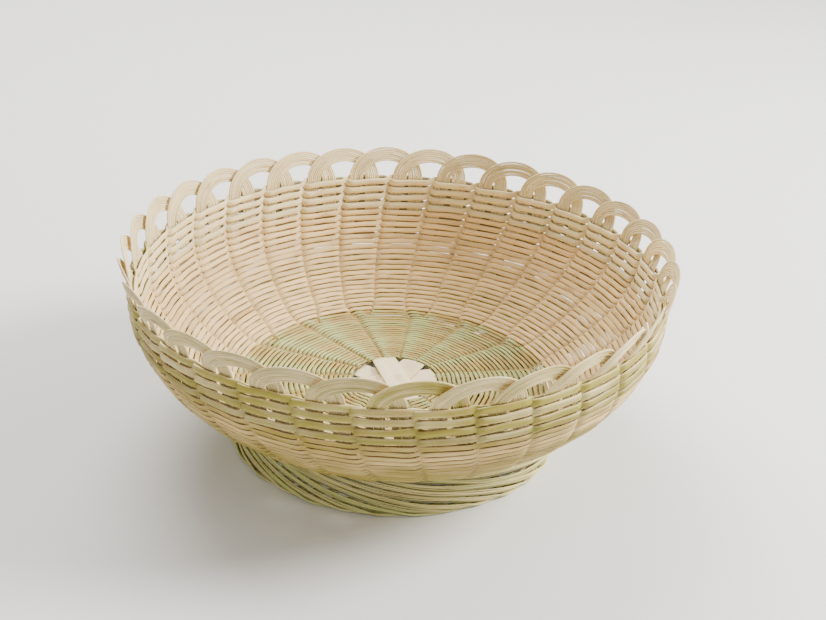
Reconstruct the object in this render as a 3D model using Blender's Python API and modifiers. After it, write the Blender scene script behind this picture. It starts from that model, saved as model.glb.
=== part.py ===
"""Round bread basket woven from split bamboo, 260 mm across and 100 mm high.

Four wide splints cross at the hub. Their strands go on as thirty-two stakes: paired as spokes in the
floor, one by one up the wall, over the rim in an arch, and down again past the next stake. Pairs of
weaving strands lock the stakes between them, so the floor, the wall and the four rows at the rim each
have an inner and an outer layer. The stake ends are rolled into the splayed foot ring.
The basket stands on z = 0 with its axis on Z.
"""

import math

import bmesh
import bpy
from mathutils import Vector

# Counts
STAKE_COUNT = 32
HUB_SPLINT_COUNT = 4
WALE_ROW_COUNT = 4

# Mid-layer of the floor and the wall, where the stakes lie: (radius, height) in metres
HUB_EDGE = (0.0210, 0.0240)
FLOOR_MIDDLE = (0.0450, 0.0230)
WALL_FOOT = (0.0800, 0.0215)
WALL_BELLY = (0.1278, 0.0465)
WALL_TOP = (0.1250, 0.0831)
FLOOR_TURN_UP = 0.005

# Layers, counted from the mid-layer
STAKE_THICKNESS = 0.0009
LAYER_GAP = 0.00045
SIDE_WEAVE_THICKNESS = 0.0013
BASE_WEAVE_THICKNESS = 0.0010
BODY_GAP = 0.0003

# Stations along the floor curve and the wall curve (0 is the inner or lower end)
FLOOR_STATIONS = (0.0, 0.45, 0.80, 1.0)
WALL_STATIONS = (0.10, 0.22, 0.34, 0.55)
WALE_STATIONS = (0.75, 0.875, 1.0)
SIDE_BANDS = (("lower", 0.0, 0.34), ("upper", 0.34, 0.75))
RETURN_LEG_STATIONS = (1.0, 0.875, 0.78)

# Stakes
SPOKE_HALF_WIDTH = 0.0006
WALL_FOOT_HALF_WIDTH = 0.0018
RIM_HALF_WIDTH = 0.00385
SPOKE_PAIR_GAP = 0.0004
FORK_RADII = (0.073, 0.087)
SPOKE_AZIMUTH = 13.3
WALL_LEAN = -6.1

# Arches
ARCH_SPAN = 1.36
ARCH_TOP_EDGE = 0.0995
ARCH_FLARE = 0.0037
ARCH_CROSSING_OFFSET = 0.0012
ARCH_STEPS = 8
ARCH_RISE = ARCH_TOP_EDGE - RIM_HALF_WIDTH - WALL_TOP[1]

# Wale rods at the rim
WALE_ROD_RADIUS = 0.0015
WALE_ROW_PITCH = 0.0046
WALE_TOP_ROW_HEIGHT = 0.0817
WALE_ROD_CLEARANCE = 0.0006

# Hub splints
HUB_RADIUS = 0.0200
HUB_SPLINT_WIDTH = 0.0150
HUB_SPLINT_THICKNESS = 0.0007
HUB_AZIMUTH = -26.5

# Foot ring: a splayed band with a flat sole
FOOT_SOLE_INNER = 0.0768
FOOT_SOLE_OUTER = 0.0822
FOOT_OUTER = 0.0830
FOOT_EDGE_HEIGHT = 0.0012
FOOT_WAIST = (0.0796, 0.0100)
FOOT_TOP_OUTER = (0.0768, 0.0184)
FOOT_TOP_INNER = (0.0705, 0.0174)
FOOT_INNER_WAIST = (0.0740, 0.0090)

# Facets around the axis
SIDE_SEGMENTS = 64
BASE_SEGMENTS = 48
ROD_SEGMENTS = 48
ROD_SIDES = 5
HUB_SEGMENTS = 64

PITCH = 2.0 * math.pi / STAKE_COUNT
MERGE_DISTANCE = 0.00001


def clear_scene():
    """Remove whatever the file opened with."""
    for item in list(bpy.data.objects):
        bpy.data.objects.remove(item, do_unlink=True)


def make_collection(name):
    """Collection that holds the finished parts."""
    collection = bpy.data.collections.new(name)
    bpy.context.scene.collection.children.link(collection)
    return collection


def make_material(name, colour, roughness):
    """Plain bamboo finish."""
    material = bpy.data.materials.new(name)
    material.use_nodes = True
    shader = material.node_tree.nodes["Principled BSDF"]
    shader.inputs["Base Color"].default_value = (*colour, 1.0)
    shader.inputs["Roughness"].default_value = roughness
    shader.inputs["Metallic"].default_value = 0.0
    return material


def add_part(name, mesh, material, collection):
    """Put a mesh in the basket's collection as one named part."""
    mesh.materials.append(material)
    part = bpy.data.objects.new(name, mesh)
    collection.objects.link(part)
    return part


def blend(start, end, amount):
    """Straight mix of two numbers."""
    return start + (end - start) * amount


def smooth(amount):
    """Ease in and out between 0 and 1."""
    amount = min(1.0, max(0.0, amount))
    return amount * amount * (3.0 - 2.0 * amount)


def wall_point(t):
    """Point on the wall's mid-layer, a quadratic curve from the floor's edge to the rim."""
    low, belly, top = Vector(WALL_FOOT), Vector(WALL_BELLY), Vector(WALL_TOP)
    return low * (1.0 - t) ** 2 + belly * 2.0 * t * (1.0 - t) + top * t * t


def wall_tangent(t):
    """Direction up the wall."""
    low, belly, top = Vector(WALL_FOOT), Vector(WALL_BELLY), Vector(WALL_TOP)
    return ((belly - low) * (1.0 - t) + (top - belly) * t).normalized()


def wall_speed(t):
    """Length of wall curve per unit of its parameter."""
    low, belly, top = Vector(WALL_FOOT), Vector(WALL_BELLY), Vector(WALL_TOP)
    return 2.0 * ((belly - low) * (1.0 - t) + (top - belly) * t).length


def floor_controls():
    """Control points of the floor's cubic curve, which meets the wall without a kink."""
    turn = Vector(WALL_FOOT) - wall_tangent(0.0) * FLOOR_TURN_UP
    return Vector(HUB_EDGE), Vector(FLOOR_MIDDLE), turn, Vector(WALL_FOOT)


def floor_point(t):
    """Point on the floor's mid-layer, from the hub's edge to the foot of the wall."""
    hub, middle, turn, edge = floor_controls()
    rest = 1.0 - t
    return hub * rest ** 3 + middle * 3.0 * t * rest ** 2 + turn * 3.0 * t * t * rest + edge * t ** 3


def floor_tangent(t):
    """Direction outwards along the floor."""
    hub, middle, turn, edge = floor_controls()
    rest = 1.0 - t
    slope = (middle - hub) * rest * rest + (turn - middle) * 2.0 * t * rest + (edge - turn) * t * t
    return slope.normalized()


def offset(point, tangent, distance):
    """Move a profile point off the mid-layer, towards the inside of the bowl when positive."""
    inward = Vector((-tangent.y, tangent.x))
    return point + inward * distance


def wall_parameter(height):
    """Wall curve parameter at a height, from the quadratic's own solution."""
    low, belly, top = WALL_FOOT[1], WALL_BELLY[1], WALL_TOP[1]
    square = low - 2.0 * belly + top
    linear = 2.0 * (belly - low)
    return (math.sqrt(linear * linear - 4.0 * square * (low - height)) - linear) / (2.0 * square)


def turned_part(name, profile, segments, material, collection):
    """Turn a closed profile about Z. The profile runs down its outer side first."""
    mesh = bpy.data.meshes.new(name)
    shape = bmesh.new()
    corners = [shape.verts.new((point[0], 0.0, point[1])) for point in profile]
    for corner, following in zip(corners, corners[1:] + corners[:1]):
        shape.edges.new((corner, following))
    shape.to_mesh(mesh)
    shape.free()
    part = add_part(name, mesh, material, collection)
    turning = part.modifiers.new("Turn", "SCREW")
    turning.axis = "Z"
    turning.angle = 2.0 * math.pi
    turning.steps = segments
    turning.render_steps = segments
    turning.use_merge_vertices = True
    turning.merge_threshold = MERGE_DISTANCE
    turning.use_smooth_shade = True
    return part


def layer_profile(points, tangents, near, far):
    """Closed outline of one woven layer between two distances from the mid-layer."""
    low, high = min(near, far), max(near, far)
    outer = [offset(p, t, low) for p, t in zip(points, tangents)]
    inner = [offset(p, t, high) for p, t in zip(points, tangents)]
    return outer[::-1] + inner


def build_weave(collection):
    """Inner and outer layers of the floor weave, and of the side weave in two bands."""
    side_material = make_material("side_weave_bamboo", (0.66, 0.53, 0.31), 0.55)
    base_material = make_material("base_weave_bamboo", (0.56, 0.52, 0.30), 0.55)
    near = STAKE_THICKNESS / 2.0 + LAYER_GAP

    base_stations = FLOOR_STATIONS[:-1] + (1.0 - BODY_GAP / 2.0 / (3.0 * FLOOR_TURN_UP),)
    base_points = [floor_point(t) for t in base_stations]
    base_tangents = [floor_tangent(t) for t in base_stations]
    far = near + BASE_WEAVE_THICKNESS
    for name, side in (("base_weave_upper", 1.0), ("base_weave_under", -1.0)):
        profile = layer_profile(base_points, base_tangents, side * near, side * far)
        turned_part(name, profile, BASE_SEGMENTS, base_material, collection)

    half_gap = BODY_GAP / 2.0
    far = near + SIDE_WEAVE_THICKNESS
    for band, start, end in SIDE_BANDS:
        first = start + half_gap / wall_speed(start)
        last = end - half_gap / wall_speed(end)
        side_stations = [first, *(t for t in WALL_STATIONS if start < t < end), last]
        side_points = [wall_point(t) for t in side_stations]
        side_tangents = [wall_tangent(t) for t in side_stations]
        for name, side in (("side_weave_inner", 1.0), ("side_weave_outer", -1.0)):
            profile = layer_profile(side_points, side_tangents, side * near, side * far)
            turned_part(f"{name}_{band}", profile, SIDE_SEGMENTS, side_material, collection)


def build_wale_rods(collection):
    """Four rows at the rim, each an inner and an outer rod with the stakes between them."""
    material = make_material("wale_rod_bamboo", (0.70, 0.58, 0.36), 0.50)
    reach = STAKE_THICKNESS / 2.0 + WALE_ROD_CLEARANCE + WALE_ROD_RADIUS
    for row in range(WALE_ROW_COUNT):
        height = WALE_TOP_ROW_HEIGHT - row * WALE_ROW_PITCH
        radius = wall_point(wall_parameter(height)).x
        for layer, side in (("outer", 1.0), ("inner", -1.0)):
            bpy.ops.mesh.primitive_torus_add(
                major_segments=ROD_SEGMENTS, minor_segments=ROD_SIDES,
                major_radius=radius + side * reach, minor_radius=WALE_ROD_RADIUS,
                location=(0.0, 0.0, height))
            rod = bpy.context.object
            rod.name = f"wale_rod_{layer}_{row + 1}"
            rod.data.name = rod.name
            rod.data.materials.append(material)
            rod.data.shade_smooth()
            for holder in list(rod.users_collection):
                holder.objects.unlink(rod)
            collection.objects.link(rod)


def spoke_side(number):
    """Which side of its spoke a stake lies on: -1 or +1. Odd and even stakes pair up."""
    return -1.0 if number % 2 == 0 else 1.0


def spoke_azimuth(number):
    """Middle of the spoke that a stake belongs to."""
    return math.radians(SPOKE_AZIMUTH) + 2.0 * PITCH * (number // 2)


def forked_azimuth(number, radius, half_width):
    """Azimuth of a stake at a radius: beside its partner in the spoke, apart beyond the fork."""
    start, end = FORK_RADII
    paired = (half_width + SPOKE_PAIR_GAP / 2.0) / radius
    parted = smooth((radius - start) / (end - start))
    return spoke_azimuth(number) + spoke_side(number) * blend(paired, PITCH / 2.0, parted)


def stake_frames(number):
    """Stations of one stake: position, half width and outward direction, hub to return leg."""
    lean = math.radians(WALL_LEAN)
    frames = []

    for t in FLOOR_STATIONS:
        point, tangent = floor_point(t), floor_tangent(t)
        half_width = blend(SPOKE_HALF_WIDTH, WALL_FOOT_HALF_WIDTH, t * t)
        frames.append((forked_azimuth(number, point.x, half_width), point, tangent, half_width))

    for t in WALL_STATIONS + WALE_STATIONS:
        point, tangent = wall_point(t), wall_tangent(t)
        half_width = blend(WALL_FOOT_HALF_WIDTH, RIM_HALF_WIDTH, smooth(t))
        azimuth = forked_azimuth(number, point.x, half_width) + lean * t
        frames.append((azimuth, point, tangent, half_width))

    rim_azimuth = frames[-1][0]
    for step in range(1, ARCH_STEPS):
        turn = math.pi * step / ARCH_STEPS
        azimuth = rim_azimuth - ARCH_SPAN * PITCH * (1.0 - math.cos(turn)) / 2.0
        flare = ARCH_FLARE * math.sin(turn) - ARCH_CROSSING_OFFSET * math.sin(2.0 * turn)
        point = Vector((WALL_TOP[0] + flare, WALL_TOP[1] + ARCH_RISE * math.sin(turn)))
        frames.append((azimuth, point, None, RIM_HALF_WIDTH))

    for t in RETURN_LEG_STATIONS:
        azimuth = rim_azimuth - ARCH_SPAN * PITCH
        frames.append((azimuth, wall_point(t), wall_tangent(t), RIM_HALF_WIDTH))
    return frames


def place(azimuth, point):
    """Profile point turned to its azimuth."""
    return Vector((point.x * math.cos(azimuth), point.x * math.sin(azimuth), point.y))


def build_stake(number, material, collection):
    """One flat strand bundle: a ribbon extruded from station to station, then given thickness."""
    frames = stake_frames(number)
    centres = [place(azimuth, point) for azimuth, point, _, _ in frames]
    shape = bmesh.new()
    edge = None
    for index, (azimuth, _, tangent, half_width) in enumerate(frames):
        before = centres[max(index - 1, 0)]
        after = centres[min(index + 1, len(centres) - 1)]
        if tangent is None:
            along = (after - before).normalized()
            outward = Vector((math.cos(azimuth), math.sin(azimuth), -ARCH_FLARE / ARCH_RISE))
            across = outward.cross(along).normalized()
        else:
            falling = index >= len(frames) - len(RETURN_LEG_STATIONS)
            direction = 1.0 if falling else -1.0
            across = Vector((-math.sin(azimuth), math.cos(azimuth), 0.0)) * direction
        ends = (centres[index] - across * half_width, centres[index] + across * half_width)
        if edge is None:
            corners = [shape.verts.new(end) for end in ends]
            edge = shape.edges.new(corners)
            continue
        grown = bmesh.ops.extrude_edge_only(shape, edges=[edge])["geom"]
        edge = next(item for item in grown if isinstance(item, bmesh.types.BMEdge))
        first, second = edge.verts
        if (first.co - corners[0].co).length > (first.co - corners[1].co).length:
            first, second = second, first
        first.co, second.co = ends
        corners = [first, second]
    bmesh.ops.recalc_face_normals(shape, faces=shape.faces)
    name = f"stake_{number + 1:02d}"
    mesh = bpy.data.meshes.new(name)
    shape.to_mesh(mesh)
    shape.free()
    stake = add_part(name, mesh, material, collection)
    thickness = stake.modifiers.new("Thickness", "SOLIDIFY")
    thickness.thickness = STAKE_THICKNESS
    thickness.offset = 0.0
    thickness.use_even_offset = True


def build_stakes(collection):
    """All thirty-two stakes, each with its own arch."""
    material = make_material("stake_bamboo", (0.74, 0.63, 0.42), 0.50)
    for number in range(STAKE_COUNT):
        build_stake(number, material, collection)


def build_hub(collection):
    """Wide splints laid crosswise over each other, trimmed round by the first weaving row."""
    material = make_material("hub_splint_bamboo", (0.80, 0.70, 0.55), 0.50)
    layer = HUB_SPLINT_THICKNESS + BODY_GAP
    lowest = HUB_EDGE[1] - layer * (HUB_SPLINT_COUNT - 1) / 2.0
    for number in range(HUB_SPLINT_COUNT):
        shape = bmesh.new()
        bmesh.ops.create_cone(
            shape, cap_ends=True, segments=HUB_SEGMENTS,
            radius1=HUB_RADIUS, radius2=HUB_RADIUS, depth=HUB_SPLINT_THICKNESS)
        for side in (-1.0, 1.0):
            cut = bmesh.ops.bisect_plane(
                shape, geom=shape.verts[:] + shape.edges[:] + shape.faces[:],
                plane_co=(0.0, side * HUB_SPLINT_WIDTH / 2.0, 0.0), plane_no=(0.0, side, 0.0),
                clear_outer=True)
            rim = [item for item in cut["geom_cut"] if isinstance(item, bmesh.types.BMEdge)]
            bmesh.ops.edgeloop_fill(shape, edges=rim)
        bmesh.ops.recalc_face_normals(shape, faces=shape.faces)
        name = f"hub_splint_{number + 1}"
        mesh = bpy.data.meshes.new(name)
        shape.to_mesh(mesh)
        shape.free()
        splint = add_part(name, mesh, material, collection)
        splint.rotation_euler.z = math.radians(HUB_AZIMUTH) + math.pi * number / HUB_SPLINT_COUNT
        splint.location.z = lowest + layer * number


def build_foot(collection):
    """Splayed ring rolled from the stake ends, with a flat sole to stand on."""
    material = make_material("foot_border_bamboo", (0.62, 0.60, 0.36), 0.50)
    profile = [
        FOOT_TOP_OUTER, FOOT_WAIST, (FOOT_OUTER, FOOT_EDGE_HEIGHT),
        (FOOT_SOLE_OUTER, 0.0), (FOOT_SOLE_INNER, 0.0), FOOT_INNER_WAIST, FOOT_TOP_INNER]
    turned_part("foot_border", profile, SIDE_SEGMENTS, material, collection)


clear_scene()
basket = make_collection("bread_basket")
build_hub(basket)
build_weave(basket)
build_wale_rods(basket)
build_stakes(basket)
build_foot(basket)
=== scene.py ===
import math
import bmesh
import bpy
import numpy as np
from mathutils import Matrix, Vector


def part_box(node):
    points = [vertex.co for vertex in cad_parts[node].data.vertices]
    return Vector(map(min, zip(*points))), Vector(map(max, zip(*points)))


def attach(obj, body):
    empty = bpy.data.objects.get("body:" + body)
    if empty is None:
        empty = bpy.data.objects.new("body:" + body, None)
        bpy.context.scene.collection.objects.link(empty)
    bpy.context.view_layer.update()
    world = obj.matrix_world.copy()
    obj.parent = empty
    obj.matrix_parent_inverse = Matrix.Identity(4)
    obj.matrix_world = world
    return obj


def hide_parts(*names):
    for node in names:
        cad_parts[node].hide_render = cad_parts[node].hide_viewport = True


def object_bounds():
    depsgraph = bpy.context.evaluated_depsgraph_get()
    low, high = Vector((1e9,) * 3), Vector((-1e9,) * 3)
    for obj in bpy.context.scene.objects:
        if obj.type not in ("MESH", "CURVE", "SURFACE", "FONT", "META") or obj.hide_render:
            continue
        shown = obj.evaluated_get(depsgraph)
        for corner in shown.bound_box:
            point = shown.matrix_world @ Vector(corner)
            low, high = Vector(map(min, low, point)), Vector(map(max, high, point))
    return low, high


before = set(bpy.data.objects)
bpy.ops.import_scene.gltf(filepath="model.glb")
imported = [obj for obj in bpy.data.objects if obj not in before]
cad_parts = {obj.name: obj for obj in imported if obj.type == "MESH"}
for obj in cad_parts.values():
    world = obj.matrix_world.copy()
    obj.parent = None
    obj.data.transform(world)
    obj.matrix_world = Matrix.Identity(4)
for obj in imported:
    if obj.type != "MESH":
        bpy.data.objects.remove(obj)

size_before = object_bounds()

# ---------------------------------------------------------------- floor, light and camera
# A plain pale floor under soft studio light, with one broad light to the right and one behind.
# The camera looks down into the basket from just above the near rim, a little rolled.
pale_paint = bpy.data.materials.new("pale_paint")
pale_paint.use_nodes = True
paint = pale_paint.node_tree.nodes["Principled BSDF"]
paint.inputs["Base Color"].default_value = (0.86, 0.86, 0.85, 1.0)
paint.inputs["Roughness"].default_value = 0.9

floor_mesh = bpy.data.meshes.new("floor")
floor_form = bmesh.new()
bmesh.ops.create_grid(floor_form, x_segments=1, y_segments=1, size=3.0)
bmesh.ops.recalc_face_normals(floor_form, faces=floor_form.faces)
floor_form.to_mesh(floor_mesh)
floor_form.free()
floor_mesh.materials.append(pale_paint)
floor = bpy.data.objects.new("floor", floor_mesh)
bpy.context.scene.collection.objects.link(floor)


def area_light(name, place, target, size, watts, colour):
    lamp = bpy.data.lights.new(name, "AREA")
    lamp.shape = "DISK"
    lamp.size = size
    lamp.energy = watts
    lamp.color = colour
    holder = bpy.data.objects.new(name, lamp)
    aim = (Vector(target) - Vector(place)).to_track_quat("-Z", "Y")
    holder.matrix_world = Matrix.Translation(place) @ aim.to_matrix().to_4x4()
    bpy.context.scene.collection.objects.link(holder)


area_light("key_light", (1.15, 0.10, 0.85), (0.0, 0.0, 0.05), 0.6, 46.0, (1.0, 0.98, 0.95))
area_light("back_light", (-0.35, 0.8, 1.2), (0.0, 0.0, 0.05), 1.0, 26.0, (1.0, 0.99, 0.97))

sky = bpy.data.worlds.new("studio_sky")
sky.use_nodes = True
sky.node_tree.nodes["Background"].inputs["Color"].default_value = (1.0, 0.97, 0.92, 1.0)
sky.node_tree.nodes["Background"].inputs["Strength"].default_value = 0.72
bpy.context.scene.world = sky

LOOK_DOWN = math.radians(27.1)
ROLL = math.radians(2.58)
AIM = Vector((0.0074, 0.0, 0.0634))
DISTANCE = 0.6158
SENSOR_WIDTH = 36.0
FOCAL_LENGTH = 55.44
right = Vector((1.0, 0.0, 0.0))
back = Vector((0.0, -math.cos(LOOK_DOWN), math.sin(LOOK_DOWN)))
up = back.cross(right)
right_rolled = math.cos(ROLL) * right + math.sin(ROLL) * up
up_rolled = -math.sin(ROLL) * right + math.cos(ROLL) * up
lens = bpy.data.cameras.new("camera")
lens.sensor_width = SENSOR_WIDTH
lens.lens = FOCAL_LENGTH
lens.clip_start = 0.01
camera = bpy.data.objects.new("camera", lens)
axes = Matrix((right_rolled, up_rolled, back)).transposed().to_4x4()
camera.matrix_world = Matrix.Translation(AIM + DISTANCE * back) @ axes
bpy.context.scene.collection.objects.link(camera)
bpy.context.scene.camera = camera


# ---------------------------------------------------------------- hub splints
# Four wide, thin splints laid crosswise over each other, the start of the basket. They are the pale
# inner wood, and the first weaving row pulls their ends tight together.
def add_node(tree, kind, inputs=None, **settings):
    node = tree.nodes.new(kind)
    for key, value in settings.items():
        setattr(node, key, value)
    for key, value in (inputs or {}).items():
        if isinstance(value, bpy.types.NodeSocket):
            tree.links.new(value, node.inputs[key])
        else:
            node.inputs[key].default_value = value
    return node


def maths(tree, operation, first, second):
    node = add_node(tree, "ShaderNodeMath", {0: first, 1: second}, operation=operation)
    return node.outputs[0]


def ramp(tree, value, low, high, new_low=0.0, new_high=1.0):
    node = add_node(tree, "ShaderNodeMapRange", {
        "Value": value, "From Min": low, "From Max": high, "To Min": new_low, "To Max": new_high})
    return node.outputs["Result"]


def mix_colours(tree, amount, first, second, mode="MIX"):
    node = add_node(tree, "ShaderNodeMix", data_type="RGBA", blend_type=mode)
    for key, value in (("Factor_Float", amount), ("A_Color", first), ("B_Color", second)):
        socket = next(item for item in node.inputs if item.identifier == key)
        if isinstance(value, bpy.types.NodeSocket):
            tree.links.new(value, socket)
        else:
            socket.default_value = value
    return next(item for item in node.outputs if item.identifier == "Result_Color")


# The whole basket is bamboo split by hand: pale wood inside, green skin outside, with fine fibres
# along it and brown flecks where the cane had a joint. Nothing is varnished.
fibre = bpy.data.node_groups.new("bamboo_fibre", "ShaderNodeTree")
for socket_name in ("Wood", "Skin", "Fleck"):
    fibre.interface.new_socket(socket_name, in_out="INPUT", socket_type="NodeSocketColor")
for socket_name, socket_kind in (
        ("Colour", "NodeSocketColor"), ("Roughness", "NodeSocketFloat"), ("Height", "NodeSocketFloat")):
    fibre.interface.new_socket(socket_name, in_out="OUTPUT", socket_type=socket_kind)
group_in = add_node(fibre, "NodeGroupInput")
group_out = add_node(fibre, "NodeGroupOutput")
place = add_node(fibre, "ShaderNodeTexCoord").outputs["Object"]
across = add_node(fibre, "ShaderNodeAttribute", attribute_name="across").outputs["Fac"]
tone = add_node(fibre, "ShaderNodeAttribute", attribute_name="tone").outputs["Fac"]
green = add_node(fibre, "ShaderNodeAttribute", attribute_name="green").outputs["Fac"]
strand_seed = maths(fibre, "MULTIPLY", tone, 90.0)
fine = add_node(fibre, "ShaderNodeTexNoise", {
    "Vector": add_node(fibre, "ShaderNodeVectorMath", {0: place, 1: (26.0, 26.0, 26.0)},
                       operation="MULTIPLY").outputs[0],
    "W": maths(fibre, "ADD", maths(fibre, "MULTIPLY", across, 4.5), strand_seed),
    "Scale": 1.0, "Detail": 3.0, "Roughness": 0.65}, noise_dimensions="4D").outputs["Fac"]
broad = add_node(fibre, "ShaderNodeTexNoise", {
    "Vector": place, "W": maths(fibre, "MULTIPLY", tone, 0.9), "Scale": 42.0, "Detail": 2.0,
}, noise_dimensions="4D").outputs["Fac"]
spots = add_node(fibre, "ShaderNodeTexNoise", {
    "Vector": place, "W": maths(fibre, "MULTIPLY", tone, 25.0), "Scale": 70.0, "Detail": 2.0,
}, noise_dimensions="4D").outputs["Fac"]
skin_share = add_node(fibre, "ShaderNodeClamp", {"Value": maths(
    fibre, "ADD", green, ramp(fibre, broad, 0.35, 0.65, -0.22, 0.22))}).outputs[0]
colour = mix_colours(fibre, skin_share, group_in.outputs["Wood"], group_in.outputs["Skin"])
fleck_share = maths(fibre, "MULTIPLY", ramp(fibre, spots, 0.56, 0.72), ramp(fibre, fine, 0.35, 0.65))
colour = mix_colours(fibre, maths(fibre, "MULTIPLY", fleck_share, 0.75), colour, group_in.outputs["Fleck"])
hidden = add_node(fibre, "ShaderNodeAttribute", attribute_name="hidden").outputs["Fac"]
fibre_shade = ramp(fibre, fine, 0.3, 0.7, 0.80, 1.10)
tone_shade = ramp(fibre, tone, 0.0, 1.0, 0.84, 1.08)
shade = maths(fibre, "MULTIPLY", fibre_shade, tone_shade)
# Painted shade: the attribute read above darkens the colour to as little as 0.35 where strands are tucked
# between or under others and little light reaches.
shade = maths(fibre, "MULTIPLY", shade, ramp(fibre, hidden, 0.0, 1.0, 1.0, 0.35))
shade_colour = add_node(fibre, "ShaderNodeCombineColor", {"Red": shade, "Green": shade, "Blue": shade})
colour = mix_colours(fibre, 1.0, colour, shade_colour.outputs[0], "MULTIPLY")
fibre.links.new(colour, group_out.inputs["Colour"])
fibre.links.new(ramp(fibre, fine, 0.3, 0.7, 0.62, 0.44), group_out.inputs["Roughness"])
fibre.links.new(fine, group_out.inputs["Height"])


def bamboo(name, wood, skin, fleck, bump_depth):
    material = bpy.data.materials.new(name)
    material.use_nodes = True
    tree = material.node_tree
    shader = tree.nodes["Principled BSDF"]
    group = add_node(tree, "ShaderNodeGroup", node_tree=fibre)
    for socket, value in (("Wood", wood), ("Skin", skin), ("Fleck", fleck)):
        group.inputs[socket].default_value = (*value, 1.0)
    bump = add_node(tree, "ShaderNodeBump", {
        "Height": group.outputs["Height"], "Distance": bump_depth, "Strength": 1.0})
    tree.links.new(group.outputs["Colour"], shader.inputs["Base Color"])
    tree.links.new(group.outputs["Roughness"], shader.inputs["Roughness"])
    tree.links.new(bump.outputs["Normal"], shader.inputs["Normal"])
    shader.inputs["Specular IOR Level"].default_value = 0.4
    return material


def add_piece(name, mesh, material, slot_name, *nodes):
    mesh.materials.append(material)
    mesh.polygons.foreach_set("use_smooth", np.ones(len(mesh.polygons), dtype=bool))
    piece = bpy.data.objects.new(name, mesh)
    bpy.context.scene.collection.objects.link(piece)
    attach(piece, "root")
    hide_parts(*nodes)


def set_points(mesh, points, **values):
    mesh.vertices.foreach_set("co", points.astype(np.float32).ravel())
    for name, value in values.items():
        layer = mesh.attributes.new(name, "FLOAT", "POINT")
        layer.data.foreach_set("value", np.broadcast_to(value, len(points)).astype(np.float32))
    mesh.update()


def read_points(mesh):
    flat = np.empty(len(mesh.vertices) * 3, dtype=np.float32)
    mesh.vertices.foreach_get("co", flat)
    return flat.reshape(-1, 3).astype(float)


rod_low, rod_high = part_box("wale_rod_outer_1")
rod_inner_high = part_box("wale_rod_inner_1")[1]
TOP_ROW_RADIUS = (rod_high[0] + rod_inner_high[0] - (rod_high[2] - rod_low[2])) / 2.0
MM = TOP_ROW_RADIUS / 125.09
TABLE = size_before[0][2]
HUB_EDGE = np.array((21.0, 24.0)) * MM
FLECK = (0.36, 0.17, 0.05)


def mix(start, end, amount):
    return start + (end - start) * amount


def ease(amount):
    amount = np.clip(amount, 0.0, 1.0)
    return amount * amount * (3.0 - 2.0 * amount)


HUB_REACH = 21.2 * MM
SPLINT_HALF_WIDTH = 6.3 * MM
SPLINT_HALF_THICKNESS = 0.30 * MM
HUB_TURN = math.radians(-26.5)
HUB_STACK = 0.45 * MM
HUB_CUP = 0.12 * MM
HUB_TONES = (0.35, 0.65, 0.45, 0.95)
SPLINT_TAPER = 0.05
SAG_FROM = 0.35
LENGTH_CUTS, WIDTH_CUTS = 23, 15
bamboo_hub = bamboo("bamboo_hub", (0.88, 0.72, 0.45), (0.80, 0.68, 0.36), FLECK, 0.00015)
for number in range(4):
    low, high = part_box(f"hub_splint_{number + 1}")
    level = (low[2] + high[2]) / 2.0
    form = bmesh.new()
    bmesh.ops.create_cube(form, size=2.0)
    long_edges = [e for e in form.edges if abs(e.verts[0].co.x - e.verts[1].co.x) > 1.0]
    bmesh.ops.subdivide_edges(form, edges=long_edges, cuts=LENGTH_CUTS, use_grid_fill=True)
    wide_edges = [e for e in form.edges if abs(e.verts[0].co.y - e.verts[1].co.y) > 1.0]
    bmesh.ops.subdivide_edges(form, edges=wide_edges, cuts=WIDTH_CUTS, use_grid_fill=True)
    bmesh.ops.recalc_face_normals(form, faces=form.faces)
    mesh = bpy.data.meshes.new(f"hub_splint_{number + 1}_strip")
    form.to_mesh(mesh)
    form.free()
    raw = read_points(mesh)
    along, side, face = raw.T
    turn = HUB_TURN + math.pi * number / 4.0
    x = along * HUB_REACH * (1.0 - SPLINT_TAPER * side ** 2)
    y = side * SPLINT_HALF_WIDTH * (1.0 - SPLINT_TAPER * along ** 2)
    sag = ease((np.hypot(x, y) / HUB_REACH - SAG_FROM) / (1.0 - SAG_FROM))
    edge_level = HUB_EDGE[1] + TABLE + (number - 1.5) * HUB_STACK
    cup = HUB_CUP * np.cos(side * 5.0 + number)
    z = mix(level, edge_level, sag) + face * SPLINT_HALF_THICKNESS + cup * (1.0 - sag)
    points = np.stack((x * math.cos(turn) - y * math.sin(turn),
                       x * math.sin(turn) + y * math.cos(turn), z), axis=1)
    set_points(mesh, points, across=side * 7.0 + number * 20.0, tone=HUB_TONES[number], green=0.0)
    add_piece(mesh.name, mesh, bamboo_hub, "hub_splint", f"hub_splint_{number + 1}")


# ---------------------------------------------------------------- weaving strands of the floor
# Pairs of split bamboo strands, one inside the stakes and one outside, which swap sides between one
# stake and the next. They go round the sixteen spokes first, and round all thirty-two stakes once
# the spokes have forked. Only the weave holds them.
FLOOR_MIDDLE = np.array((45.0, 23.0)) * MM
WALL_FOOT = np.array((80.0, 21.5)) * MM
WALL_BELLY = np.array((127.8, 46.5)) * MM
WALL_TOP = np.array((125.0, 83.1)) * MM
FLOOR_TURN_UP = 5.0 * MM
FORK = (73.0 * MM, 87.0 * MM)
UP_AT_FOOT = (WALL_BELLY - WALL_FOOT) / np.linalg.norm(WALL_BELLY - WALL_FOOT)
FLOOR_TURN = WALL_FOOT - UP_AT_FOOT * FLOOR_TURN_UP
STAKES = 32
PITCH = 2.0 * math.pi / STAKES
FIRST_SPOKE = math.radians(13.3)
WALL_LEAN = math.radians(-6.1)
SPOKE_GAP = 0.2 * MM
HALF_WIDTH_AT_HUB, HALF_WIDTH_AT_EDGE, HALF_WIDTH_AT_RIM = 0.6, 1.8, 3.85


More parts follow.
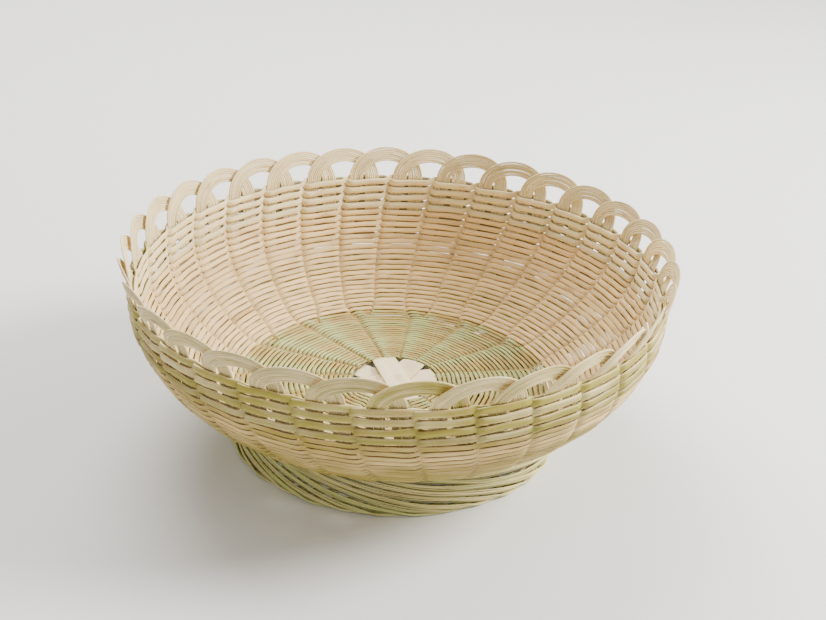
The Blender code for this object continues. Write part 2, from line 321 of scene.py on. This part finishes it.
def bowl_line(t):
    """Radius and height on the bowl's line, and its direction: t 0 to 1 is floor and 1 to 2 is wall."""
    t = np.asarray(t, dtype=float)
    f = np.clip(t, 0.0, 1.0)[..., None]
    w = np.clip(t - 1.0, 0.0, 1.2)[..., None]
    g, v = 1.0 - f, 1.0 - w
    floor_place = (HUB_EDGE * g ** 3 + 3.0 * FLOOR_MIDDLE * f * g * g + 3.0 * FLOOR_TURN * f * f * g
                   + WALL_FOOT * f ** 3)
    floor_way = ((FLOOR_MIDDLE - HUB_EDGE) * g * g + 2.0 * (FLOOR_TURN - FLOOR_MIDDLE) * f * g
                 + (WALL_FOOT - FLOOR_TURN) * f * f)
    wall_place = WALL_FOOT * v * v + 2.0 * WALL_BELLY * w * v + WALL_TOP * w * w
    wall_way = (WALL_BELLY - WALL_FOOT) * v + (WALL_TOP - WALL_BELLY) * w
    on_wall = (t >= 1.0)[..., None]
    spot = np.where(on_wall, wall_place, floor_place) + np.array((0.0, TABLE))
    way = np.where(on_wall, wall_way, floor_way)
    return spot, way / np.linalg.norm(way, axis=-1, keepdims=True)


LINE_STEPS = 400
line_t = np.linspace(0.0, 2.0, 2 * LINE_STEPS + 1)
line_points = bowl_line(line_t)[0]
line_length = np.concatenate(([0.0], np.cumsum(np.linalg.norm(np.diff(line_points, axis=0), axis=1))))
WALL_START = line_length[LINE_STEPS]


def stake_half_width(t):
    t = np.asarray(t, dtype=float)
    in_floor = mix(HALF_WIDTH_AT_HUB, HALF_WIDTH_AT_EDGE, np.clip(t, 0.0, 1.0) ** 2)
    on_wall = mix(HALF_WIDTH_AT_EDGE, HALF_WIDTH_AT_RIM, ease(t - 1.0))
    return np.where(t < 1.0, in_floor, on_wall) * MM


def stake_azimuth(number, t):
    """Where a stake lies round the axis: in a pair in the floor, apart by its edge, leaning up the wall."""
    side = -1.0 if number % 2 == 0 else 1.0
    spoke = FIRST_SPOKE + 2.0 * PITCH * (number // 2)
    t = np.asarray(t, dtype=float)
    radius = bowl_line(t)[0][..., 0]
    paired = (stake_half_width(t) + SPOKE_GAP) / radius
    parted = ease((radius - FORK[0]) / (FORK[1] - FORK[0]))
    return spoke + side * mix(paired, PITCH / 2.0, parted) + WALL_LEAN * np.clip(t - 1.0, 0.0, 1.0)


CROSSING = 0.78
SWAP_LENGTH = 0.15
TWIST = 0.16
STRAND_SLANT = 0.05
NEAR_STAKE = 0.24
STAGGER_FROM, STAGGER_OVER = 1.40, 0.15
DEPTH_DRIFT = 0.10 * MM
SLOW_DRIFT, QUICK_DRIFT = 0.06, 0.07
WIDTH_DRIFT, WIDTH_AT_SWAP = 0.12, 0.15
# Painted shade in the twist where the two strands of a pair cross.
PAINTED_SHADE_AT_SWAP = 0.22
SKIN_GREEN, OVER_STAKE_HIGHLIGHT_GREEN, PATCH_GREEN, STRAND_GREEN = 0.75, 0.75, 0.20, 0.12
RING_RADIUS, RING_STEP = 4.0, 10.0
CELL_FROM = (0.0, 0.25, 0.75, 1.0)
CELL_TO = (0.0, 0.325, 0.675, 1.0)


def columns_at(t, forked):
    """Clockwise angles of the uprights that a row at t goes round, in rising order."""
    if forked:
        turns = [-float(stake_azimuth(number, t)) for number in range(STAKES)]
    else:
        turns = [-(FIRST_SPOKE + 2.0 * PITCH * spoke) for spoke in range(STAKES // 2)]
    return np.sort(np.mod(turns, 2.0 * math.pi))


def row_strands(start, end, count, pitches, forked_from, fill, stagger, **strand):
    """Pairs of strands for count rows between two lengths along the bowl's line."""
    rows = []
    first_pitch, last_pitch = pitches
    for row in range(count):
        x = (row + 0.5) / count
        mean = (first_pitch + last_pitch) / 2.0
        spot = start + (end - start) * (first_pitch * x + (last_pitch - first_pitch) * x * x / 2.0) / mean
        pitch = (end - start) / count * (first_pitch + (last_pitch - first_pitch) * x) / mean
        t = float(np.interp(spot, line_length, line_t))
        rows.append(dict(strand, spot=spot, pitch=pitch, t=t, columns=columns_at(t, t > forked_from),
                         fill=mix(fill[0], fill[1], ease((x - 0.5) / 0.5)),
                         stagger=mix(stagger[0], stagger[1], ease((t - STAGGER_FROM) / STAGGER_OVER)),
                         slant=STRAND_SLANT))
    return rows


def wobble(turn, seed, waves=(3, 7, 13, 22)):
    """Gentle unevenness round the basket, between about -1 and 1."""
    noise = np.random.default_rng(seed)
    total = np.zeros_like(turn)
    for wave in waves:
        total += np.sin(wave * turn + noise.uniform(0.0, 6.3)) * noise.uniform(0.3, 1.0)
    return total / len(waves) * 1.4


def lay_row(row, which, seed, turn, out, up):
    """Places points of a plain ring along one strand of a row's pair."""
    columns = row["columns"]
    count = len(columns)
    cell, x = np.divmod(turn / (2.0 * math.pi) * count, 1.0)
    p = cell + CROSSING - 0.5 + np.interp(x, CELL_FROM, CELL_TO)
    known = np.concatenate((columns[-2:] - 2.0 * math.pi, columns, columns[:3] + 2.0 * math.pi))
    clockwise = np.interp(p, np.arange(-2, count + 3), known)
    swap = np.mod(p - CROSSING + which, 2.0)
    wave = np.clip(-np.sin(math.pi * swap) / math.sin(math.pi * SWAP_LENGTH), -1.0, 1.0)
    side = wave * (1.5 - 0.5 * wave * wave)
    crossing = 1.0 - side * side
    near = np.exp(-((p - np.rint(p)) / NEAR_STAKE) ** 2)
    depth = side * mix(row["between"], row["near"], near) + DEPTH_DRIFT * wobble(clockwise, seed + 2)
    twist = (row["slant"] + (TWIST - row["slant"]) * crossing) * np.cos(math.pi * swap)
    uneven = (SLOW_DRIFT * wobble(clockwise, seed)
              + QUICK_DRIFT * wobble(clockwise, seed + 3, (19, 31, 43, 61)))
    slide = row["pitch"] * (twist - row["stagger"] * side + uneven)
    drift = 1.0 + WIDTH_DRIFT * wobble(clockwise, seed + 1, (5, 11, 23, 37))
    width = row["pitch"] * 0.5 * row["fill"] * drift * (1.0 + WIDTH_AT_SWAP * crossing)
    spot, way = bowl_line(np.interp(row["spot"] + slide, line_length, line_t))
    inward = np.stack((-way[:, 1], way[:, 0]), axis=1)
    section = spot + way * (up * width)[:, None] + inward * (depth - out * row["thickness"])[:, None]
    radius, height = section.T
    points = np.stack((radius * np.cos(clockwise), -radius * np.sin(clockwise), height), axis=1)
    return points, side, near


def painted_crevice_shade(side, out):
    """Painted shade for a point on a strand: how far it faces the stakes or lies in the twist, where no
    light gets in.
    """
    return np.clip(side * out, 0.0, 1.0) + PAINTED_SHADE_AT_SWAP * (1.0 - side * side)


def woven_rings(name, rows, which, steps, sides, greenness, over_stake_highlight, seed):
    """One strand of every row's pair, as closed rings in one mesh, with a painted highlight: paler and
    greener where it bulges over a stake.
    """
    form = bmesh.new()
    upright = Matrix.Rotation(math.pi / 2.0, 4, "X")
    for number in range(len(rows)):
        stand = Matrix.Translation((RING_RADIUS, 0.0, RING_STEP * number)) @ upright
        bmesh.ops.create_circle(form, segments=sides, radius=1.0, matrix=stand)
    bmesh.ops.spin(form, geom=form.verts[:] + form.edges[:], axis=(0.0, 0.0, 1.0), cent=(0.0, 0.0, 0.0),
                   angle=2.0 * math.pi, steps=steps, use_merge=True)
    bmesh.ops.recalc_face_normals(form, faces=form.faces)
    mesh = bpy.data.meshes.new(name)
    form.to_mesh(mesh)
    form.free()
    raw = read_points(mesh)
    number = np.rint(raw[:, 2] / RING_STEP).astype(int)
    turn = np.mod(np.arctan2(-raw[:, 1], raw[:, 0]), 2.0 * math.pi)
    out = np.hypot(raw[:, 0], raw[:, 1]) - RING_RADIUS
    up = raw[:, 2] - RING_STEP * number
    points = np.empty_like(raw)
    tone, green, hidden = np.empty(len(raw)), np.empty(len(raw)), np.empty(len(raw))
    noise = np.random.default_rng(seed)
    for index, row in enumerate(rows):
        pick = number == index
        row_seed = seed * 1000 + index * 10 + which
        points[pick], side, near = lay_row(row, which, row_seed, turn[pick], out[pick], up[pick])
        # Painted highlight: paler, greener colour on the raised bump where the strand passes in front of a
        # stake.
        band = over_stake_highlight * near * np.clip(side, 0.0, 1.0)
        patchy = PATCH_GREEN * wobble(turn[pick], seed + index // 3, (1, 2, 5, 9))
        tone[pick] = noise.uniform(0.0, 1.0)
        green[pick] = (greenness(row["t"]) + noise.normal(0.0, STRAND_GREEN) + SKIN_GREEN * out[pick]
                       + OVER_STAKE_HIGHLIGHT_GREEN * band + patchy)
        # Painted shade on the faces turned towards the stakes and in the twists.
        hidden[pick] = painted_crevice_shade(side, out[pick])
    set_points(mesh, points, across=up + 0.15 * out, tone=tone, green=green, hidden=hidden)
    return mesh


FLOOR_ROWS = 23
FLOOR_START = 0.3 * MM
FORKED_FROM = 0.82
STRAND_STEPS, STRAND_SIDES = 384, 8
bamboo_floor = bamboo("bamboo_floor", (0.50, 0.33, 0.09), (0.50, 0.56, 0.22), FLECK, 0.00020)
floor_rows = row_strands(FLOOR_START, WALL_START, FLOOR_ROWS, (2.3, 2.8), FORKED_FROM, (0.70, 0.74),
                         (0.08, 0.08), near=1.15 * MM, between=0.80 * MM, thickness=0.42 * MM)


def floor_green(t):
    return 0.84 - 0.10 * t


for which, (name, node) in enumerate((("floor_strands_a", "base_weave_upper"),
                                      ("floor_strands_b", "base_weave_under"))):
    mesh = woven_rings(name, floor_rows, which, STRAND_STEPS, STRAND_SIDES, floor_green, 0.8, 11)
    add_piece(name, mesh, bamboo_floor, "base_weave", node)


# ---------------------------------------------------------------- weaving strands of the wall
# Twenty more pairs of the same split bamboo strand carry on up the wall, a little wider towards the
# rim. They are only held by the stakes between them.
WALL_ROWS = 20
WALL_ROWS_END = float(np.interp(1.75, line_t, line_length))
BAND_EDGE = 1.34
bamboo_wall = bamboo("bamboo_wall", (0.90, 0.64, 0.30), (0.33, 0.25, 0.022), FLECK, 0.00020)
wall_rows = row_strands(WALL_START, WALL_ROWS_END, WALL_ROWS, (2.8, 3.7), 0.0, (0.90, 0.76),
                        (0.0, 0.23), near=1.25 * MM, between=0.90 * MM, thickness=0.48 * MM)
lower_rows = [row for row in wall_rows if row["t"] < BAND_EDGE]
upper_rows = [row for row in wall_rows if row["t"] >= BAND_EDGE]


def wall_green(t):
    return 0.50 - 0.35 * ease((t - 1.0) / 0.6)


for which, layer in enumerate(("inner", "outer")):
    for band, rows, seed in (("lower", lower_rows, 23), ("upper", upper_rows, 29)):
        name = f"wall_strands_{'ab'[which]}_{band}"
        mesh = woven_rings(name, rows, which, STRAND_STEPS, STRAND_SIDES, wall_green, 0.15, seed)
        add_piece(name, mesh, bamboo_wall, "side_weave", f"side_weave_{layer}_{band}")


# ---------------------------------------------------------------- twined rows under the rim
# Four rows of thicker paired bamboo strands, spaced apart, grip the stakes and the ends that come
# back down from the arches.
RIM_PITCH = 4.6 * MM
RIM_STEPS, RIM_SIDES = 512, 12
bamboo_rim = bamboo("bamboo_rim", (0.98, 0.80, 0.45), (0.36, 0.30, 0.035), FLECK, 0.00020)


def rim_green(t):
    return 0.25


for number in range(4):
    low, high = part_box(f"wale_rod_outer_{number + 1}")
    level = (low[2] + high[2]) / 2.0
    t = float(np.interp(level, line_points[LINE_STEPS:, 1], line_t[LINE_STEPS:]))
    row = dict(spot=float(np.interp(t, line_t, line_length)), pitch=RIM_PITCH, t=t,
               columns=columns_at(t, True), near=1.55 * MM, between=1.45 * MM, thickness=0.80 * MM,
               fill=0.72, stagger=mix(0.24, 0.17, ease((t - 1.85) / 0.12)), slant=0.09)
    for which, layer in enumerate(("inner", "outer")):
        name = f"rim_strand_{'ab'[which]}_{number + 1}"
        mesh = woven_rings(name, [row], which, RIM_STEPS, RIM_SIDES, rim_green, 0.1, 41 + number)
        add_piece(name, mesh, bamboo_rim, "wale_rod", f"wale_rod_{layer}_{number + 1}")


# ---------------------------------------------------------------- stakes and arches
# Each stake is seven fine bamboo strands side by side, split from a hub splint. It runs out along
# the floor and up the wall, arches over the rim and comes down again past its neighbour, tucked
# in between the twined rows.
STRANDS = 7
ARCH_SPAN = 1.36
ARCH_FLARE = 3.7 * MM
ARCH_OFFSET = 1.2 * MM
stake_tops = [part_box(f"stake_{number + 1:02d}")[1][2] for number in range(STAKES)]
ARCH_RISE = max(stake_tops) - HALF_WIDTH_AT_RIM * MM - (WALL_TOP[1] + TABLE)
STRAND_HALF_THICKNESS = 0.40 * MM
STRAND_SPREAD = 0.16
STRAND_LIFT = 0.06
STRAND_OVERLAP = 1.12
FACE_GREEN = 0.34
FLOOR_STATIONS, WALL_STATIONS, ARCH_STATIONS, LEG_STATIONS = 19, 34, 24, 13
LEG_END = 1.72
STICK_STEP = 10.0
STICK_SIDES = 6


def strand_sticks(name, count, stations, sides):
    """Straight strands side by side along X, with their stations one apart along Z."""
    form = bmesh.new()
    for number in range(count):
        stand = Matrix.Translation((STICK_STEP * number, 0.0, 0.0))
        bmesh.ops.create_circle(form, segments=sides, radius=1.0, matrix=stand)
    bmesh.ops.spin(form, geom=form.verts[:] + form.edges[:], axis=(0.0, 0.0, 1.0), cent=(0.0, 0.0, 0.0),
                   dvec=(0.0, 0.0, 1.0), angle=0.0, steps=stations - 1, use_merge=False)
    bmesh.ops.holes_fill(form, edges=form.edges, sides=sides)
    bmesh.ops.recalc_face_normals(form, faces=form.faces)
    mesh = bpy.data.meshes.new(name)
    form.to_mesh(mesh)
    form.free()
    return mesh


def unit(vectors):
    return vectors / np.linalg.norm(vectors, axis=1, keepdims=True)


def spin_out(azimuth, radius, height):
    return np.stack((radius * np.cos(azimuth), radius * np.sin(azimuth), height), axis=1)


def stake_route(number):
    """The middle of a stake, its outward side and its half width, from the hub to its tucked end."""
    t = np.concatenate((np.linspace(0.0, 1.0, FLOOR_STATIONS), np.linspace(1.03, 2.0, WALL_STATIONS)))
    spot, way = bowl_line(t)
    azimuth = stake_azimuth(number, t)
    middle = spin_out(azimuth, spot[:, 0], spot[:, 1])
    outward = spin_out(azimuth, way[:, 1], -way[:, 0])
    width = stake_half_width(t)

    turn = np.linspace(0.0, math.pi, ARCH_STATIONS + 2)[1:-1]
    rim = azimuth[-1]
    arch_azimuth = rim - ARCH_SPAN * PITCH * (1.0 - np.cos(turn)) / 2.0
    flare = ARCH_FLARE * np.sin(turn) - ARCH_OFFSET * np.sin(2.0 * turn)
    arch = spin_out(arch_azimuth, WALL_TOP[0] + flare, WALL_TOP[1] + TABLE + ARCH_RISE * np.sin(turn))
    arch_outward = spin_out(arch_azimuth, np.ones_like(turn), np.full_like(turn, -ARCH_FLARE / ARCH_RISE))

    down = np.linspace(2.0, LEG_END, LEG_STATIONS)
    leg_spot, leg_way = bowl_line(down)
    leg_azimuth = np.full_like(down, rim - ARCH_SPAN * PITCH)
    leg = spin_out(leg_azimuth, leg_spot[:, 0], leg_spot[:, 1])
    leg_outward = spin_out(leg_azimuth, leg_way[:, 1], -leg_way[:, 0])

    middle = np.concatenate((middle, arch, leg))
    outward = unit(np.concatenate((outward, arch_outward, leg_outward)))
    width = np.concatenate((width, np.full(len(turn) + len(down), stake_half_width(2.0))))
    return middle, outward, width


def lay_strands(mesh, middle, outward, width, tones, greens, greener, seed):
    """Bends a bundle of straight strands along a route."""
    count = len(tones)
    along = unit(np.gradient(middle, axis=0))
    across_way = unit(np.cross(outward, along))
    outward = np.cross(along, across_way)
    raw = read_points(mesh)
    number = np.rint(raw[:, 0] / STICK_STEP).astype(int)
    station = np.rint(raw[:, 2]).astype(int)
    x, y = raw[:, 0] - STICK_STEP * number, raw[:, 1]
    noise = np.random.default_rng(seed)
    place = np.linspace(0.0, 1.0, len(middle))
    shift, lift = np.empty((count, len(middle))), np.empty((count, len(middle)))
    for strand in range(count):
        base = (strand - (count - 1) / 2.0) / count * 2.0
        drift = sum(np.sin(place * wave + noise.uniform(0.0, 6.3)) * noise.uniform(0.2, 1.0)
                    for wave in (9, 21, 40))
        shift[strand] = base + STRAND_SPREAD * drift / count
        lift[strand] = sum(np.sin(place * wave + noise.uniform(0.0, 6.3)) for wave in (11, 26))
        lift[strand] *= STRAND_LIFT * MM
    half = (width / count)[station] * STRAND_OVERLAP
    sideways = shift[number, station] * width[station] + x * half
    outwards = lift[number, station] + y * STRAND_HALF_THICKNESS
    points = (middle[station] + across_way[station] * sideways[:, None]
              + outward[station] * outwards[:, None])
    set_points(mesh, points, across=x * 0.6 + number * 5.0, tone=np.asarray(tones)[number],
               green=np.asarray(greens)[number] + greener[station] + FACE_GREEN * y)


route_length = len(stake_route(0)[0])
stake_green = 0.75 * (1.0 - ease((np.arange(route_length) - 17.0) / 12.0))
plain_sticks = strand_sticks("plain_sticks", STRANDS, route_length, STICK_SIDES)
for number in range(STAKES):
    noise = np.random.default_rng(500 + number)
    middle, outward, width = stake_route(number)
    mesh = plain_sticks.copy()
    mesh.name = f"stake_{number + 1:02d}_strands"
    own = noise.uniform(0.2, 0.9)
    lay_strands(mesh, middle, outward, width,
                np.clip(own + noise.normal(0.0, 0.15, STRANDS), 0.0, 1.0),
                noise.normal(0.12, 0.14) + noise.normal(0.0, 0.06, STRANDS), stake_green, 900 + number)
    add_piece(mesh.name, mesh, bamboo_rim, "stake", f"stake_{number + 1:02d}")
bpy.data.meshes.remove(plain_sticks)


# ---------------------------------------------------------------- foot ring
# The stake ends leave the bowl under the wall, slant down over the outside of the foot one over the
# next, turn under to make the sole and are tucked up inside. Nothing but the plait holds them.
FOOT_BUNDLES = STAKES
FOOT_STRANDS = 4
# Their path: how far round in stake pitches, radius and height in millimetres.
FOOT_KNOTS = np.array((
    (0.0, 68.0, 18.2), (0.8, 72.5, 18.4), (1.6, 76.0, 17.2), (3.4, 77.7, 12.8), (5.2, 79.4, 8.2),
    (7.0, 81.2, 3.6), (7.8, 81.4, 1.35), (8.6, 79.6, 0.75), (9.4, 77.6, 1.3), (10.3, 76.2, 4.4),
    (11.4, 74.6, 9.0)))
FOOT_HALF_WIDTH = 1.38 * MM
FOOT_HALF_THICKNESS = 0.48 * MM
FOOT_STRAND_FILL = 0.96
FOOT_IN_OUT, FOOT_UP_DOWN = 0.45 * MM, 0.55 * MM
bamboo_foot = bamboo("bamboo_foot", (0.88, 0.74, 0.36), (0.60, 0.62, 0.22), FLECK, 0.00020)
foot_station = np.linspace(0.0, FOOT_KNOTS[-1, 0], 80)
foot_radius = np.interp(foot_station, FOOT_KNOTS[:, 0], FOOT_KNOTS[:, 1])
foot_height = np.interp(foot_station, FOOT_KNOTS[:, 0], FOOT_KNOTS[:, 2])
for smoothing in range(3):
    for values in (foot_radius, foot_height):
        values[1:-1] = (values[:-2] + 2.0 * values[1:-1] + values[2:]) / 4.0
foot_mesh = strand_sticks("foot_strands", FOOT_BUNDLES * FOOT_STRANDS,
                          len(foot_station), STICK_SIDES)
raw = read_points(foot_mesh)
stick = np.rint(raw[:, 0] / STICK_STEP).astype(int)
station = np.rint(raw[:, 2]).astype(int)
x, y = raw[:, 0] - STICK_STEP * stick, raw[:, 1]
fall = np.gradient(np.stack((foot_radius, foot_height), axis=1), axis=0)
fall /= np.linalg.norm(fall, axis=1, keepdims=True) + 1e-9
points = np.empty_like(raw)
tone, green, hidden = np.empty(len(raw)), np.empty(len(raw)), np.empty(len(raw))
for bundle in range(FOOT_BUNDLES):
    noise = np.random.default_rng(1300 + bundle)
    azimuth = FIRST_SPOKE + PITCH * (bundle + 0.5 + foot_station)
    radius = foot_radius * MM + FOOT_IN_OUT * np.sin(foot_station * 1.7 + noise.uniform(0.0, 6.3))
    wander = FOOT_UP_DOWN * np.sin(foot_station * 0.8 + noise.uniform(0.0, 6.3))
    height = foot_height * MM + TABLE + wander * ease((foot_height - 2.0) / 4.0)
    middle = spin_out(azimuth, radius, height)
    outward = spin_out(azimuth, -fall[:, 1], fall[:, 0])
    along = unit(np.gradient(middle, axis=0))
    across_way = unit(np.cross(outward, along))
    outward = np.cross(along, across_way)
    own_tone, own_green = noise.uniform(0.1, 1.0), noise.normal(0.45, 0.15)
    for strand in range(FOOT_STRANDS):
        pick = stick == bundle * FOOT_STRANDS + strand
        at = station[pick]
        base = (strand - (FOOT_STRANDS - 1) / 2.0) / FOOT_STRANDS * 2.0
        drift = 0.10 * np.sin(foot_station * noise.uniform(1.0, 2.5) + noise.uniform(0.0, 6.3))
        within = x[pick] * FOOT_HALF_WIDTH / FOOT_STRANDS * FOOT_STRAND_FILL
        sideways = (base + drift[at]) * FOOT_HALF_WIDTH + within
        rise = (0.30 * math.cos(base * 1.2) + 0.50 * base - 0.25) * MM
        outwards = rise + y[pick] * FOOT_HALF_THICKNESS
        points[pick] = (middle[at] + across_way[at] * sideways[:, None]
                        + outward[at] * outwards[:, None])
        tone[pick] = np.clip(own_tone + noise.normal(0.0, 0.12), 0.0, 1.0)
        green[pick] = own_green + noise.normal(0.0, 0.08)
        # Painted shade: darker on the strands tucked under the next bundle, and towards the top of the foot
        # where it sits under the bowl.
        shade_under_next_bundle = 0.75 * max(0.0, -base) ** 2 / 0.56
        hidden[pick] = shade_under_next_bundle + 0.35 * ease((foot_height[at] - 13.0) / 4.0)
points[:, 2] = np.maximum(points[:, 2], TABLE)
set_points(foot_mesh, points, across=x * 0.6 + stick * 5.0, tone=tone, green=green, hidden=hidden)
add_piece("foot_strands", foot_mesh, bamboo_foot, "foot_border", "foot_border")
